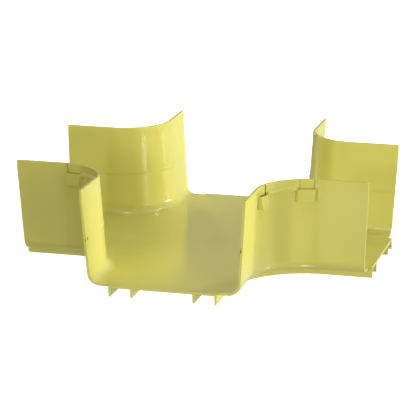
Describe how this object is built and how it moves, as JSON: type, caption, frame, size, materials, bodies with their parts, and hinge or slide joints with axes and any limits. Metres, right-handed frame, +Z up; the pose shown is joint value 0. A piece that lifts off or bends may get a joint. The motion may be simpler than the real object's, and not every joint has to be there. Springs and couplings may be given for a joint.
{
  "type": "raceway cross fitting",
  "caption": "Open four-way cross for a fibre raceway, with curved corner walls that keep the bend of the fibres, latch loops for the cover, and ribs under the floor.",
  "frame": {"origin": "middle of the cross, on the plane that the ribs under the floor stand on", "axes": "+X and +Y along two of the arms, +Z up out of the open channel"},
  "size_m": [0.36, 0.36, 0.1043],
  "materials": {
    "moulding": "semi-gloss moulded yellow plastic"
  },
  "bodies": {
    "root": {"cross_fitting": "moulding"}
  },
  "joints": []
}
